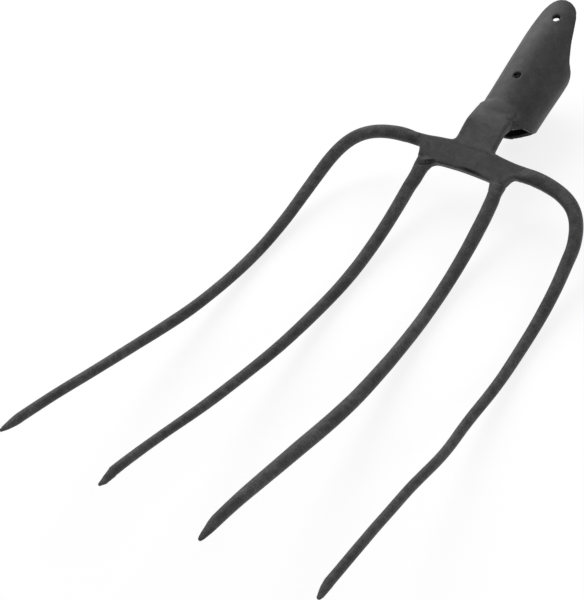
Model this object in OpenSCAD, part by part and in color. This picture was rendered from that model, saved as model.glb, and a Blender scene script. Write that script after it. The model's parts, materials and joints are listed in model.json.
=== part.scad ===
// Head of a four-tine garden fork: a rolled socket with its neck, a crosshead and four bent tines.
// Millimetres, +Z up, tines towards -Y, socket towards +Y, lying at rest on its belly and its mouth.

/* [Tines] */
// Length of an inner tine along its bend, from the middle of the crosshead
tine_l = 316; // [280:1:380]
// How much sooner the left outer tine ends
outer_left_short = 5; // [0:0.5:12]
// How much sooner the left inner tine ends
inner_left_short = 2.5; // [0:0.5:12]
// How much sooner the right outer tine ends
outer_right_short = 0.5; // [0:0.5:12]
// Diameter of a tine at its root
tine_root_d = 8.6; // [6:0.1:10]
// Diameter of a tine where its point begins
tine_tip_d = 5.6; // [4:0.1:7]
// Length of the drawn-down point
point_l = 12; // [6:1:20]
// Diameter of the blunt end of the point
point_d = 2.2; // [1.2:0.1:3.5]
// How far the end of a point lies off its tine's middle, where it is drawn down from one side
point_set = 1; // [0:0.1:1.4]
// Distance of an inner tine's root from the middle
inner_root_x = 25; // [22:0.1:32]
// Outward set of an inner tine just below its root
inner_set = 0.5; // [0:0.1:3]
// Outward lean of an inner tine, in degrees
inner_lean = 1.5; // [0:0.1:4]
// Straight root of an outer tine, before its shoulder bend
outer_root_l = 13.1; // [10:0.1:20]
// Radius of the shoulder bend
shoulder_r = 38; // [30:1:48]
// Outward lean of an outer tine past its shoulder, in degrees
outer_lean = 4; // [0:0.5:8]
// Widening of the inner right tine where it is beaten flat
flat_wide = 1.0; // [0:0.1:1.5]
// Where that flat place has its middle, along the bend
flat_at = 200; // [150:1:240]
// Inward dent of the right outer tine
dent = 2.2; // [0:0.1:5]
// Where the dent has its middle, along the bend
dent_at = 224; // [190:1:240]

/* [Side bend] */
// Slope of the crosshead and of the tines' roots, in degrees
head_slope = 36; // [30:1:44]
// Distances along the bend at which its slope is given
bend_at = [40, 120, 200, 250]; // [30:1:270]
// Slopes at those distances, in degrees, negative where the tines rise to their points
bend_slope = [32, 9, -3, -7]; // [-12:1:36]
// Slope at the points
end_slope = 1; // [-8:1:4]

/* [Crosshead] */
// Thickness of the web
web_t = 6.4; // [5:0.1:8]
// How far the web's front lies before the middle of the tines
web_front = 2.8; // [2:0.1:4]
// Height of the web above the outer tines' middle, at the neck
web_up = 6.4; // [5.5:0.1:10]
// Height of the web below the outer tines' middle
web_down = 10.5; // [9:0.5:15]
// Distance from an inner tine's middle to the outer tine's scarf
scarf_gap = 8.5; // [7.5:0.1:12]
// Angle of the scarf across an outer tine, in degrees
scarf = 34; // [0:1:40]
// Bevel along the web's lower front edge
web_bevel = 2.5; // [0.5:0.1:3]

/* [Neck] */
// Width of the neck strap
neck_w = 25; // [20:0.5:32]
// Thickness of the neck strap
neck_t = 5.2; // [4:0.1:6]
// Distance from the crosshead's middle to the socket's mouth
mouth_at = 30; // [24:0.5:40]
// How far the neck's front lies before the middle of the tines, at its foot
neck_front = 2.3; // [1.5:0.1:3]
// How far it lies behind that at the mouth
neck_back_set = 1; // [0:0.1:2]

/* [Socket] */
// Bore of the socket, which takes the handle
bore_d = 32; // [27:0.5:39]
// Thickness of the rolled plate
wall = 3; // [2:0.1:4]
// Slope of the socket's axis, in degrees
socket_slope = 25.7; // [18:0.1:32]
// How far the socket's crest lies behind the middle of the tines, at the mouth
crest_set = 2.6; // [2:0.1:3.5]
// Length of the rolled part, from the mouth at the front to the wings' ends
rolled_l = 53; // [46:0.5:66]
// Length of the tongue past the rolled part
tongue_l = 36.5; // [30:0.5:46]
// Length over which the wings narrow to the tongue's waist
waist_l = 10.5; // [8:0.5:14]
// Half of the tongue's wrap at that waist, in degrees
waist_half = 58; // [50:1:64]
// Half of the tongue's wrap where its round end begins, in degrees
end_half = 36; // [30:1:40]
// Radius of the tongue's round end
tongue_end_r = 11; // [9:0.1:12]
// How much lower the mouth's edge lies at the front than at the back
mouth_slant = 10.5; // [0:0.5:14]
// How much lower it lies on the left than on the right
mouth_skew = 8; // [0:0.5:10]
// How far it laps below the neck strap's end, at the front
mouth_lap = 2; // [0:0.5:3]
// How much the wings are cut back behind
wing_slant = 8; // [0:0.5:12]
// How far the plate's root laps behind the neck strap
root_lap = 6; // [2:0.5:10]
// Width of that root
root_lap_w = 16; // [10:0.5:18]
// Width of the open seam behind
seam = 2; // [1:0.1:4]
// Diameter of the two nail holes
hole_d = 5.0; // [4:0.1:7]
// Distance of the lower nail hole from the mouth
lower_hole_at = 30; // [22:0.5:38]
// How far round to the left the lower nail hole lies, in degrees
lower_hole_turn = 4; // [-6:0.5:6]
// Distance of the upper nail hole from the mouth
upper_hole_at = 76; // [68:0.5:78]
// How far round to the left the upper nail hole lies, in degrees
upper_hole_turn = -2; // [-6:0.5:6]

/* [Welds] */
// Width of the weld across the neck's foot
foot_weld_w = 4.4; // [3:0.1:5]
// Depth of that weld
foot_weld_depth = 2.2; // [1:0.1:2.5]
// Reach of the welds in the corners beside the neck's foot
foot_weld_reach = 3; // [1.5:0.1:4]
// Reach of the weld in the corner below the left outer tine
left_weld_reach = 3; // [2:0.1:6]
// Reach of the weld in the corner below the right outer tine
right_weld_reach = 5.5; // [2:0.1:6]
// Reach of the welds in the corners beside the inner tines
inner_weld_reach = 4; // [2:0.1:6]
// Thickness of the corner welds
weld_t = 5; // [3:0.1:6]
// Clearance between a weld and a tine's root, and at the ends of the neck weld's groove
weld_gap = 0.05; // [0.02:0.01:0.2]

/* [Hidden] */

steel = "#46484a";
weld_steel = "#555658";
$fn = 96;
far = 200;

// Slope of the tines at a distance along their bend; the roots are straight to the end of their welds
root_end = web_down + 9;
bend = [[root_end, head_slope],
        for (i = [0 : len(bend_at) - 1]) [bend_at[i], bend_slope[i]],
        [tine_l, end_slope]];
function slope(s) = lookup(s, bend);

// The side view of the bend, as places along it summed in small steps
bend_step = 1;
side_view = [for (s = 0, y = 0, z = 0; s <= tine_l + 1;
                  y = y - bend_step * cos(slope(s + bend_step / 2)),
                  z = z - bend_step * sin(slope(s + bend_step / 2)),
                  s = s + bend_step) [s, y, z]];
side_y = [for (p = side_view) [p[0], p[1]]];
side_z = [for (p = side_view) [p[0], p[2]]];

// Place on the bent surface of a point of the flat blank, x across and s along the tines
function bent(x, s) = s < 0 ? [x, -s * cos(head_slope), -s * sin(head_slope)]
                            : [x, lookup(s, side_y), lookup(s, side_z)];
// Direction square to the bent surface, towards its hollow side
function front_of(s) = [0, -sin(slope(s)), cos(slope(s))];

// A smooth rise and fall of 1 round a place, zero beyond its reach
function wave(s, at, reach) = abs(s - at) < reach ? (1 + cos(180 * (s - at) / reach)) / 2 : 0;

// Inner tine in the flat blank: a straight lean with a slight outward bow
inner_bow = 0.6;
inner_bow_at = 180;
inner_bow_reach = 110;
flat_reach = 70;
inner_set_l = 30;
function rise(k) = k <= 0 ? 0 : k >= 1 ? 1 : (1 - cos(180 * k)) / 2;
function inner_x(s) = inner_root_x + (s - web_down) * tan(inner_lean)
                      + inner_set * rise((s - root_end) / inner_set_l)
                      + inner_bow * wave(s, inner_bow_at, inner_bow_reach);

// Outer tine in the flat blank, by its length from the scarf: root, shoulder bend, then a straight lean
scarf_x = inner_root_x + scarf_gap;
shoulder_turn = 90 - outer_lean;
shoulder_l = PI * shoulder_r * shoulder_turn / 180;
shoulder_x = scarf_x + outer_root_l + shoulder_r * sin(shoulder_turn);
shoulder_s = shoulder_r * (1 - cos(shoulder_turn));
function outer_l(end) = outer_root_l + shoulder_l + (end - shoulder_s) / cos(outer_lean);
function outer_plan(l) =
    l < outer_root_l ? [scarf_x + l, 0] :
    l < outer_root_l + shoulder_l ?
        let (a = 180 * (l - outer_root_l) / (PI * shoulder_r))
        [scarf_x + outer_root_l + shoulder_r * sin(a), shoulder_r * (1 - cos(a))] :
        let (past = l - outer_root_l - shoulder_l)
        [shoulder_x + past * sin(outer_lean), shoulder_s + past * cos(outer_lean)];

// Sideways wander of the outer tines, outward where positive: place, reach and size
left_wander = [[132, 64, -1.1], [214, 46, 0.9], [285, 40, -0.3]];
right_wander = [[110, 80, -0.6], [160, 36, -1.5], [dent_at, 58, -dent], [320, 50, 0.7]];
function wander(s, list) = len(list) == 0 ? 0 :
    list[0][2] * wave(s, list[0][0], list[0][1])
    + wander(s, [for (i = [1 : 1 : len(list) - 1]) list[i]]);

// Half the thickness of a tine: an even taper, then the point
root_r = tine_root_d / 2;
tip_r = tine_tip_d / 2;
function taper_r(s, end) =
    root_r + (tip_r - root_r) * min(1, max(0, (s - root_end) / (end - point_l - root_end)));
function point_share(s, end) = min(1, max(0, (s - end + point_l) / point_l));
function tine_r(s, end) = let (k = point_share(s, end)) taper_r(s, end) * (1 - k * k) + point_d / 2 * k * k;
// What sets the middle of a point off its tine's middle, to the right and back
function point_off(s, end, set) =
    let (k = point_share(s, end)) set * k * k * ([0.8, 0, 0] - 0.6 * front_of(s));

// Rings of a tine: middle, direction across, direction to the front, half width and half thickness
ring_gap = 5;
sides = 12;
function unit(v) = v / norm(v);
function ring(c, across, up, rx, rz) =
    [for (i = [0 : sides - 1]) c + across * rx * cos(360 * i / sides) + up * rz * sin(360 * i / sides)];
// The first ring of a tine lies in the face it is welded to
function scarf_ring(c, along, across, up, r, angle) =
    [for (i = [0 : sides - 1]) let (h = r * cos(360 * i / sides))
        c + across * h + up * r * sin(360 * i / sides) - along * h * tan(angle)];

// Distances from 0 to l, no further apart than a ring's gap
function stations(l) = let (n = ceil(l / ring_gap)) [for (i = [0 : n]) l * i / n];
function outer_centre(side, l, list) =
    let (p = outer_plan(l)) bent(side * (p[0] + wander(p[1], list)), p[1]);
function outer_rings(side, list, end, set) =
    let (full = outer_l(end))
    [for (l = stations(full))
        let (s = outer_plan(l)[1],
             off = point_off(s, end, set),
             before = outer_centre(side, max(0, l - 0.5), list),
             after = outer_centre(side, min(full, l + 0.5), list),
             up = front_of(s),
             along = unit(after - before),
             across = side * cross(along, up),
             r = tine_r(s, end))
        l == 0 ? scarf_ring(outer_centre(side, 0, list), along, across, up, r, scarf)
               : ring(outer_centre(side, l, list) + off, across, up, r, r)];

function inner_centre(side, s) = bent(side * inner_x(s), s);
function inner_rings(side, wide, end, set) =
    [for (l = stations(end - web_down))
        let (s = web_down + l,
             off = point_off(s, end, set),
             before = inner_centre(side, max(web_down, s - 0.5)),
             after = inner_centre(side, min(end, s + 0.5)),
             up = front_of(s),
             along = unit(after - before),
             across = cross(along, up),
             r = tine_r(s, end),
             spread = wide * wave(s, flat_at, flat_reach))
        l == 0 ? scarf_ring(inner_centre(side, s), along, across, up, r, side * inner_lean)
               : ring(inner_centre(side, s) + off, across, up, r + spread, r - spread / 3)];

// How the fork rests: the line that touches the tines' belly and the back of the socket's mouth
delta = head_slope - socket_slope;
socket_r = bore_d / 2 + wall;
axis_up = mouth_at - socket_r * sin(delta);
axis_back = -crest_set - socket_r * cos(delta);
mouth_y = axis_up * cos(head_slope) - axis_back * sin(head_slope);
mouth_z = axis_up * sin(head_slope) + axis_back * cos(head_slope);
mouth_back = mouth_slant - mouth_lap;
heel_y = mouth_y + mouth_back * cos(socket_slope) + socket_r * sin(socket_slope);
heel_z = mouth_z + mouth_back * sin(socket_slope) - socket_r * cos(socket_slope);
function touch(s) =
    let (p = bent(0, s), dy = heel_y - p[1], dz = heel_z - p[2], r = tine_r(s, tine_l))
    atan2(dz, dy) + asin(r / norm([dy, dz]));
rest_tilt = max([for (s = [60 : 1 : tine_l - point_l]) touch(s)]);
function rest(p) = [p[0], p[1] * cos(rest_tilt) + p[2] * sin(rest_tilt),
                    -p[1] * sin(rest_tilt) + p[2] * cos(rest_tilt)];
floor_z = rest([0, heel_y, heel_z])[2];
socket_end = rolled_l + tongue_l;
tongue_y = mouth_y + socket_end * cos(socket_slope) - bore_d / 2 * sin(socket_slope);
tongue_z = mouth_z + socket_end * sin(socket_slope) + bore_d / 2 * cos(socket_slope);
front_y = min([for (r = inner_rings(1, 0, tine_l, point_set)) for (p = r) rest(p)[1]]);
back_y = rest([0, tongue_y, tongue_z])[1];
middle_y = (front_y + back_y) / 2;

module placed() {
    translate([0, -middle_y, -floor_z]) rotate([-rest_tilt, 0, 0]) children();
}

// Puts a flat outline, x across and y up the neck, into the plane of the crosshead
module in_head(back, thick) {
    rotate([head_slope, 0, 0]) translate([0, 0, back]) linear_extrude(thick) children();
}

// Puts what stands on the mouth's centre, with +Z up the socket and -Y to its crest, into place
module in_socket() {
    translate([0, mouth_y, mouth_z]) rotate([socket_slope - 90, 0, 0]) children();
}

module swept(rings) {
    n = len(rings);
    points = [for (r = rings) for (p = r) p];
    walls = [for (j = [0 : n - 2]) for (i = [0 : sides - 1]) let (k = (i + 1) % sides)
        each [[j * sides + i, j * sides + k, (j + 1) * sides + k],
              [j * sides + i, (j + 1) * sides + k, (j + 1) * sides + i]]];
    foot = [for (i = [sides - 1 : -1 : 0]) i];
    tip = [for (i = [0 : sides - 1]) (n - 1) * sides + i];
    polyhedron(points, concat(walls, [foot], [tip]), convexity = 6);
}

// The tongue's two edges, cut square to the plate, with a half wrap that narrows evenly
module tongue_edges() {
    cut_at = (waist_half + end_half) / 2;
    waist_c = socket_r * sin(waist_half - cut_at);
    end_c = socket_r * sin(end_half - cut_at);
    waist_u = rolled_l + waist_l;
    end_u = socket_end - tongue_end_r + 3;
    past = 2;
    for (side = [0, 1]) mirror([side, 0, 0]) rotate([90, 0, cut_at]) linear_extrude(far)
        polygon([[waist_c, waist_u], [waist_c + past * (end_c - waist_c), waist_u + past * (end_u - waist_u)],
                 [far, waist_u + past * (end_u - waist_u)], [far, waist_u]]);
}

// All below the plane of the mouth's slanted and skewed edge
module below_mouth() {
    across = atan(mouth_skew / (2 * socket_r));
    back = atan(mouth_slant / (2 * socket_r) * cos(across));
    translate([0, 0, mouth_slant / 2 - mouth_lap]) rotate([back, -across, 0])
        translate([-far / 2, -far / 2, -far]) cube(far);
}

// A straight tube, trimmed at its mouth, its wings and its tongue
module socket_tube() {
    waist_y = -socket_r * cos(waist_half);
    difference() {
        intersection() {
            translate([0, 0, -root_lap]) cylinder(r = socket_r, h = socket_end + root_lap);
            rotate([90, 0, 0]) translate([0, 0, -far / 2]) linear_extrude(far) union() {
                translate([0, socket_end - tongue_end_r]) circle(tongue_end_r);
                translate([-far / 2, -root_lap]) square([far, socket_end - tongue_end_r + root_lap]);
            }
            // side view: the wings' slanted ends and their rise to the waist
            rotate([0, -90, 0]) translate([0, 0, -far / 2]) linear_extrude(far)
                polygon([[-root_lap, -socket_r], [socket_end, -socket_r], [socket_end, waist_y],
                         [rolled_l + waist_l, waist_y], [rolled_l, 0],
                         [rolled_l - wing_slant, socket_r], [-root_lap, socket_r]]);
        }
        tongue_edges();
        below_mouth();
    }
    // the plate's root, lapped behind the neck strap
    intersection() {
        translate([0, 0, -root_lap]) cylinder(r = socket_r, h = root_lap + 1);
        translate([-root_lap_w / 2, -socket_r, -root_lap]) cube([root_lap_w, socket_r, root_lap + 1]);
    }
}

module neck_strap() {
    knee = mouth_at - 4;
    mouth_front = neck_front - neck_back_set;
    end_at = mouth_at + 0.5;
    end_front = mouth_front - 2;
    rotate([90, 0, 90]) translate([0, 0, -neck_w / 2]) linear_extrude(neck_w) rotate(head_slope)
        polygon([[web_up, neck_front - foot_weld_depth], [web_up + foot_weld_w / 2, neck_front],
                 [knee, mouth_front], [end_at, end_front], [end_at, end_front - neck_t + 1],
                 [web_up, neck_front - neck_t]]);
}

module socket() color(steel) placed() {
    difference() {
        union() {
            in_socket() socket_tube();
            neck_strap();
        }
        in_socket() translate([0, 0, -root_lap - 1]) cylinder(d = bore_d, h = far);
        in_socket() translate([-seam / 2, 0, -far / 4]) cube([seam, socket_r + 1, far]);
        for (hole = [[lower_hole_at, lower_hole_turn], [upper_hole_at, upper_hole_turn]])
            in_socket() translate([0, 0, hole[0]]) rotate([90, 0, -hole[1]])
                cylinder(d = hole_d, h = socket_r + 5);
    }
}

// Outline of the web: arched above, scarfed at its ends and square where the inner tines start
module web_outline() {
    right = [[neck_w / 2, web_up], [scarf_x + scarf_half, root_r], [scarf_x - scarf_half, -root_r],
             [web_foot_x, -web_down]];
    polygon(concat(right, [for (i = [len(right) - 1 : -1 : 0]) [-right[i][0], right[i][1]]]));
}

module crosshead() color(steel) placed() {
    bevel_x = inner_root_x - root_r - inner_weld_reach;
    difference() {
        in_head(web_front - web_t, web_t) web_outline();
        // the groove that the weld across the neck's foot fills
        groove_x = neck_w / 2 + weld_gap;
        rotate([90, 0, 90]) translate([0, 0, -groove_x]) linear_extrude(2 * groove_x) rotate(head_slope)
            polygon([[web_up - foot_weld_w / 2, neck_front],
                     [web_up + foot_weld_w / 2, neck_front - 2 * foot_weld_depth],
                     [web_up + foot_weld_w / 2, web_front + 1],
                     [web_up - foot_weld_w / 2, web_front + 1]]);
        // the bevel along the lower front edge, between the inner tines' welds
        rotate([90, 0, 90]) translate([0, 0, -bevel_x]) linear_extrude(2 * bevel_x) rotate(head_slope)
            polygon([[-web_down - 1, web_front - web_bevel], [-web_down, web_front - web_bevel],
                     [-web_down + web_bevel, web_front], [-web_down + web_bevel, web_front + 1],
                     [-web_down - 1, web_front + 1]]);
    }
}

module tine_outer_left() color(steel) placed()
    swept(outer_rings(-1, left_wander, tine_l - outer_left_short, 0));
module tine_outer_right() color(steel) placed()
    swept(outer_rings(1, right_wander, tine_l - outer_right_short, point_set));
module tine_inner_left() color(steel) placed()
    swept(inner_rings(-1, 0, tine_l - inner_left_short, point_set));
module tine_inner_right() color(steel) placed()
    swept(inner_rings(1, flat_wide, tine_l, point_set));

// A corner filled with a hollow curve that leaves the sides a and b at its reach. The side along a round
// tine reaches in under it, by what is added to the corner and to the end of side a
module corner_fill(corner, a, b, reach, add_corner = [0, 0], add_end = [0, 0]) {
    half = acos(a * b) / 2;
    difference() {
        polygon([corner + add_corner, corner, corner + b * reach, corner + a * reach,
                 corner + a * reach + add_end]);
        translate(corner + unit(a + b) * reach / cos(half)) circle(reach * tan(half));
    }
}

weld_back = web_front - web_t / 2 - weld_t / 2;
under = root_r / 2;
scarf_half = root_r * tan(scarf);
web_foot_x = inner_root_x + root_r + 0.2;

module weld_neck() color(weld_steel) placed() {
    // the bead across the foot
    rotate([90, 0, 90]) translate([0, 0, -neck_w / 2]) linear_extrude(neck_w) rotate(head_slope)
        polygon([[web_up, neck_front - foot_weld_depth], [web_up + foot_weld_w / 2, neck_front],
                 [web_up - foot_weld_w / 2, neck_front]]);
    // the two corners beside it
    top = unit([scarf_x + scarf_half - neck_w / 2, root_r - web_up]);
    for (side = [0, 1]) mirror([side, 0, 0])
        in_head(neck_front - neck_t + 0.2, neck_t - 0.4 - foot_weld_depth)
            corner_fill([neck_w / 2, web_up], [0, 1], top, foot_weld_reach);
}

// The weld in the corner below an outer tine, on the right
module weld_outer(reach) {
    corner = [scarf_x - scarf_half, -root_r];
    difference() {
        in_head(weld_back, weld_t)
            corner_fill(corner, [1, 0], unit([web_foot_x, -web_down] - corner), reach,
                        [under * tan(scarf), under], [0, under]);
        rotate([0, 90, 0]) cylinder(r = root_r + weld_gap, h = far);
    }
}

// The weld in the corner beside an inner tine, on the right
module weld_inner() {
    difference() {
        in_head(weld_back, weld_t)
            corner_fill([inner_root_x - root_r, -web_down], [sin(inner_lean), -cos(inner_lean)], [-1, 0],
                        inner_weld_reach, [under, 0], [under, 0]);
        rotate([head_slope, 0, 0]) translate([inner_root_x, -web_down, 0]) rotate([90, 0, inner_lean])
            translate([0, 0, -1]) cylinder(r = root_r / cos(inner_lean) + weld_gap, h = root_end);
    }
}

module weld_outer_left() color(weld_steel) placed() mirror([1, 0, 0]) weld_outer(left_weld_reach);
module weld_outer_right() color(weld_steel) placed() weld_outer(right_weld_reach);
module weld_inner_left() color(weld_steel) placed() mirror([1, 0, 0]) weld_inner();
module weld_inner_right() color(weld_steel) placed() weld_inner();

socket();
crosshead();
tine_outer_left();
tine_inner_left();
tine_inner_right();
tine_outer_right();
weld_neck();
weld_outer_left();
weld_inner_left();
weld_inner_right();
weld_outer_right();
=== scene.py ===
"""The looks of a forged fork head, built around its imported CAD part.

Sizes are in millimetres, and are turned into metres when a mesh is made. Two sets of axes are used.
The flat blank: x across, s along the tines' bend from the middle of the crosshead.
The head: x across, t up the crosshead and the neck, n out of their front face.
"""
import json
import math

import bpy
import numpy as np
from mathutils import Matrix, Vector


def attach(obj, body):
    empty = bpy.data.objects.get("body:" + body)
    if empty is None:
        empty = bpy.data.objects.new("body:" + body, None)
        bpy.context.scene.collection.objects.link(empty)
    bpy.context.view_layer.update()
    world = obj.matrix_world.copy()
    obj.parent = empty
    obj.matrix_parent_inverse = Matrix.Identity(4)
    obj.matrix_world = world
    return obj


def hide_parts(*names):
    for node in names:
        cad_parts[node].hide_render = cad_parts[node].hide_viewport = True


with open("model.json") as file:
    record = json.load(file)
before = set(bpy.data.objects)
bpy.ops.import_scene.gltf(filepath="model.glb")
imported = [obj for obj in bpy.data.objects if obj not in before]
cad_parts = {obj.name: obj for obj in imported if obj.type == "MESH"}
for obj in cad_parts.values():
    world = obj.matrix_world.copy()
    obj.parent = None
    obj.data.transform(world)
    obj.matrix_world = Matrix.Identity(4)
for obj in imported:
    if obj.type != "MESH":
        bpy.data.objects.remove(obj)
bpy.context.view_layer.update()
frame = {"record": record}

# Side bend
HEAD_SLOPE = 36
BEND = [(19.5, 36), (40, 32), (120, 9), (200, -3), (250, -7), (316, 1)]

# Tines
TINE_L = 316
ROOT_S = 19.5
INNER_ROOT_X = 25
INNER_LEAN = 1.5
INNER_SET = 0.5
INNER_BOW = 0.6
OUTER_ROOT_L = 13.1
SHOULDER_R = 38
OUTER_LEAN = 4
FLAT_AT = 200
FLAT_REACH = 75
NOSE = 1.1
# How far from its root a tine follows the crosshead's skin and the scarf's plane, and the air at its seat
FLUSH_L = 14
SCARF_L = 9
SEAT_AIR = 0.22
# Slow waves of a forged tine: of its middle, its width and its lift off the bend
MIDDLE_WAVE = 0.04
WIDTH_WAVE = 0.03
LIFT_WAVE = 0.08
# Painted shade on one side of a tine's root: how dark it is, and how far it reaches
ROOT_SHADE = 0.4
ROOT_SHADE_L = 26

# Each tine: its width at distances along it, how far its middle strays from the plain bend, and its point.
# An outer tine is measured from its scarf and strays outward, an inner one along the bend and to the right.
# The rows of a point give the distance before its end and its reach to the left and the right of the middle.
# Short is how much sooner it ends than the full length, and flat how much its beaten face is thinned. Shaded
# turn is the turn round its section where its root gets painted shade. Front and back are its reach to those
# sides at its nose.
OUTER_LEFT = {
    "side": -1, "outer": True, "short": 5, "squareness": 0.07, "flat": 0, "shaded_turn": None,
    "wide": [(4, 8.05), (12, 8.7), (24, 8.35), (36, 8), (52, 7.85), (84, 7.5), (106, 7.15),
             (124, 6.9), (148, 6.85), (190, 6.55), (208, 6.7), (242, 6.15), (276, 5.85), (335, 5.6)],
    "stray": [(0, 0), (20, -0.85), (42, 0.35), (66, -0.5), (77, 0.2), (88, 0.5), (112, -0.05),
              (140, -0.8), (175, -1.1), (200, -0.7), (225, 0.5), (252, 0.8), (300, -0.3), (335, -0.5)],
    "point": [(14, 2.75, 3.0), (11, 2.7, 2.85), (4.5, 1.9, 2.0), (2.5, 1.5, 1.4), (NOSE, 1.05, 0.95)],
    "front": 0.9, "back": 0.9,
}
INNER_LEFT = {
    "side": -1, "outer": False, "short": 2.5, "squareness": 0.08, "flat": 0, "shaded_turn": -25,
    "wide": [(22, 8.55), (30, 8.1), (38, 8), (54, 7.65), (70, 7.55), (94, 7.3), (118, 6.95),
             (134, 6.9), (166, 6.5), (190, 6.15), (224, 5.95), (246, 5.5), (286, 5.3), (302, 5.4)],
    "stray": [(22, -0.5), (30, -0.95), (38, -0.7), (54, -0.4), (70, -0.25), (90, 0.1), (134, 0.1),
              (158, 0.15), (190, -0.05), (222, 0.25), (254, 0.3), (278, 0.15), (294, -0.05)],
    "point": [(11.5, 2.4, 3.05), (7.5, 1.5, 3.1), (5.5, 1.15, 3.15), (3.5, 0.7, 3.05), (NOSE, 0.1, 1.85)],
    "front": 0.3, "back": 1.3,
}
INNER_RIGHT = {
    "side": 1, "outer": False, "short": 0, "squareness": 0.06, "flat": 0.65, "shaded_turn": -25,
    "wide": [(22, 8.45), (38, 8.4), (54, 8.1), (70, 7.85), (78, 7.65), (94, 7.5), (118, 7.55),
             (134, 7.65), (158, 8.05), (174, 8.4), (198, 8.7), (222, 8.5), (270, 7.2), (302, 6.35)],
    "stray": [(22, 0.35), (30, 0.4), (42, 0.05), (54, 0), (78, 0.05), (102, 0.05), (134, 0.15),
              (155, 0.25), (174, 0.5), (198, 0.2), (230, -0.35), (262, 0.1), (294, -0.2)],
    "point": [(17, 3.35, 3.1), (12, 2.85, 3.1), (8, 1.95, 3.05), (4, 1.15, 2.8), (2, 0.6, 2.45),
              (NOSE, 0.25, 2.1)],
    "front": 0.4, "back": 1.4,
}
OUTER_RIGHT = {
    "side": 1, "outer": True, "short": 0.5, "squareness": 0.07, "flat": 0, "shaded_turn": 205,
    "wide": [(4, 9.3), (12, 9.5), (28, 9.25), (36, 9.25), (44, 8.9), (68, 8), (92, 7.5),
             (108, 7.35), (124, 6.9), (148, 6.5), (172, 6.2), (212, 5.75), (260, 5.5), (338, 5.3)],
    "stray": [(0, 0.5), (20, -0.7), (43, 0.55), (62, -0.45), (70, -0.5), (92, -0.05), (108, -0.15),
              (140, -0.8), (164, -0.85), (196, -1.75), (222, -0.9), (256, -2.1), (284, -1.2), (316, -0.15),
              (335, 0.2)],
    "point": [(11.5, 2.65, 2.8), (7, 2.05, 2.85), (3, 0.85, 2.85), (NOSE, 0.25, 2.3)],
    "front": 0.3, "back": 1.4,
}

# Crosshead
WEB_T = 6.4
WEB_FRONT = 2.8
WEB_UP = 6.4
WEB_DOWN = 10.5
WEB_EDGE_R = 1.3
SCARF_X = 33.5
SCARF = 34
INNER_ROOT_R = 4.1
OUTER_ROOT_R = {-1: 4.2, 1: 4.6}
# How far sawn and worn edges are eased, and how deep the hammer's dents are
CUT_EASE = 0.2
EDGE_EASE = 0.6
DENT = 0.08
# Outline of the crosshead with the stumps of all that is welded to it, seen from its front, clockwise.
# Each corner: across, up, and how far its rounding reaches, with its weld and without.
RIGHT_HALF = [(12.6, 15, 0, 0), (12.6, 6.1, 2.2, 0.6), (22, 4.75, 4, 4), (30, 4.1, 4, 4), (37, 4.2, 4, 4),
              (52, 4.4, 0, 0), (52, -4.8, 0, 0), (36, -4.4, 3, 3), (30.7, -4.3, 5.5, 0.8), (28.7, -10, 2, 2),
              (29.3, -24, 0, 0), (21.3, -24, 0, 0), (20.5, -15, 4, 3), (19.4, -10.7, 0.8, 0.6)]
LEFT_HALF = [(-13.2, 15, 0, 0), (-13.2, 6.1, 2.6, 0.6), (-22, 5, 4, 4), (-30, 3.6, 4, 4), (-36, 3.4, 3, 3),
             (-46, 3.8, 3, 3), (-52, 3.8, 0, 0), (-52, -4.7, 0, 0), (-36, -4.35, 3, 3), (-32.1, -4.2, 3, 0.8),
             (-30.6, -10, 2, 2), (-30.2, -24, 0, 0), (-21.8, -24, 0, 0), (-20.2, -11.3, 8, 0.8)]
LOWER_EDGE = [(-20.2, -11.3), (-13, -10.5), (0, -9.95), (8, -10.1), (19.4, -10.7)]
# A fold in the bevel and a pit beside the left inner tine: middle, reach and lean
FLAWS = [((5, -8.9, 2.2), (4.5, 0.45, 0.8), -0.03), ((-22, -12.8, 3.2), (3.8, 1.6, 1.7), 0.6)]
# Corner welds: kind, middle across and up, and reach
CORNER_WELDS = [("inner", 20.5, -10.8, 4.2), ("outer", 30.5, -4.2, 4.8)]
# How deep a weld's rim sinks below the skin, and how far its middle stands above it
WELD_SINK = 0.9
CORNER_WELD_UP = 0.05
NECK_WELD_UP = 0.06
# Darkness of the painted shade in the crosshead's fold and pit
FLAW_SHADE = 0.65

# Neck and socket
NECK_W = 25.8
NECK_T = 5.2
NECK_FRONT = 2.3
NECK_SET = -0.3
NECK_EDGE_R = 1.6
# Side view of the strap from its foot into the socket and back: up and out
STRAP_SIDE = [(5.0, NECK_FRONT), (9, NECK_FRONT), (16.75, 1.8), (22, 1.3), (26, 0.4), (29.6, -1.1),
              (33.5, -2.9), (37, -5), (36, -7), (16, -3.3), (5.0, -NECK_T + NECK_FRONT)]
MOUTH_AT = 30
CREST_SET = 2.6
SOCKET_R = 19
SOCKET_SLOPE = 25.7
SHEET_T = 2.9
# How far the rolled plate's skin lies below the CAD part's
SKIN_BELOW = 0.15
SHEET_EDGE_R = 0.55
SOCKET_END = 89.5
HOLE_D = 5.0
# Nail holes: how far up, turn to the left in degrees, and how much lower their inner end lies
HOLES = [(30, 4, 0), (76, -2, 1.5)]
HOLE_NARROWING = 0.12
HOLE_EASE = 0.4
# Free edge of the rolled plate: half of its wrap in degrees, and how far up the socket it is there
EDGE = [(170, 45), (135, 47), (107, 50.9), (90, 53.5), (70.5, 56.6), (59, 62.7), (47.2, 72), (36.8, 81.6)]
TONGUE_END_R = 11.3
# How the rolled plate opens from its mouth to its tongue: change of radius, with its crest kept
SWELL = [(0, -0.6), (25, -0.5), (46, 0), (60, 0.1), (78, 0.2), (90, 0.1)]
# How far the socket is set to the right, and its tongue from there to the left
SOCKET_SET = 0.2
TONGUE_SET = 0.9
MOUTH_MIDDLE = 3.25
MOUTH_SLANT = 10.5
MOUTH_SKEW = 8
NOTCH_DEPTH = 2.8
NOTCH_AT = -148
NOTCH_REACH = 40
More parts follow.
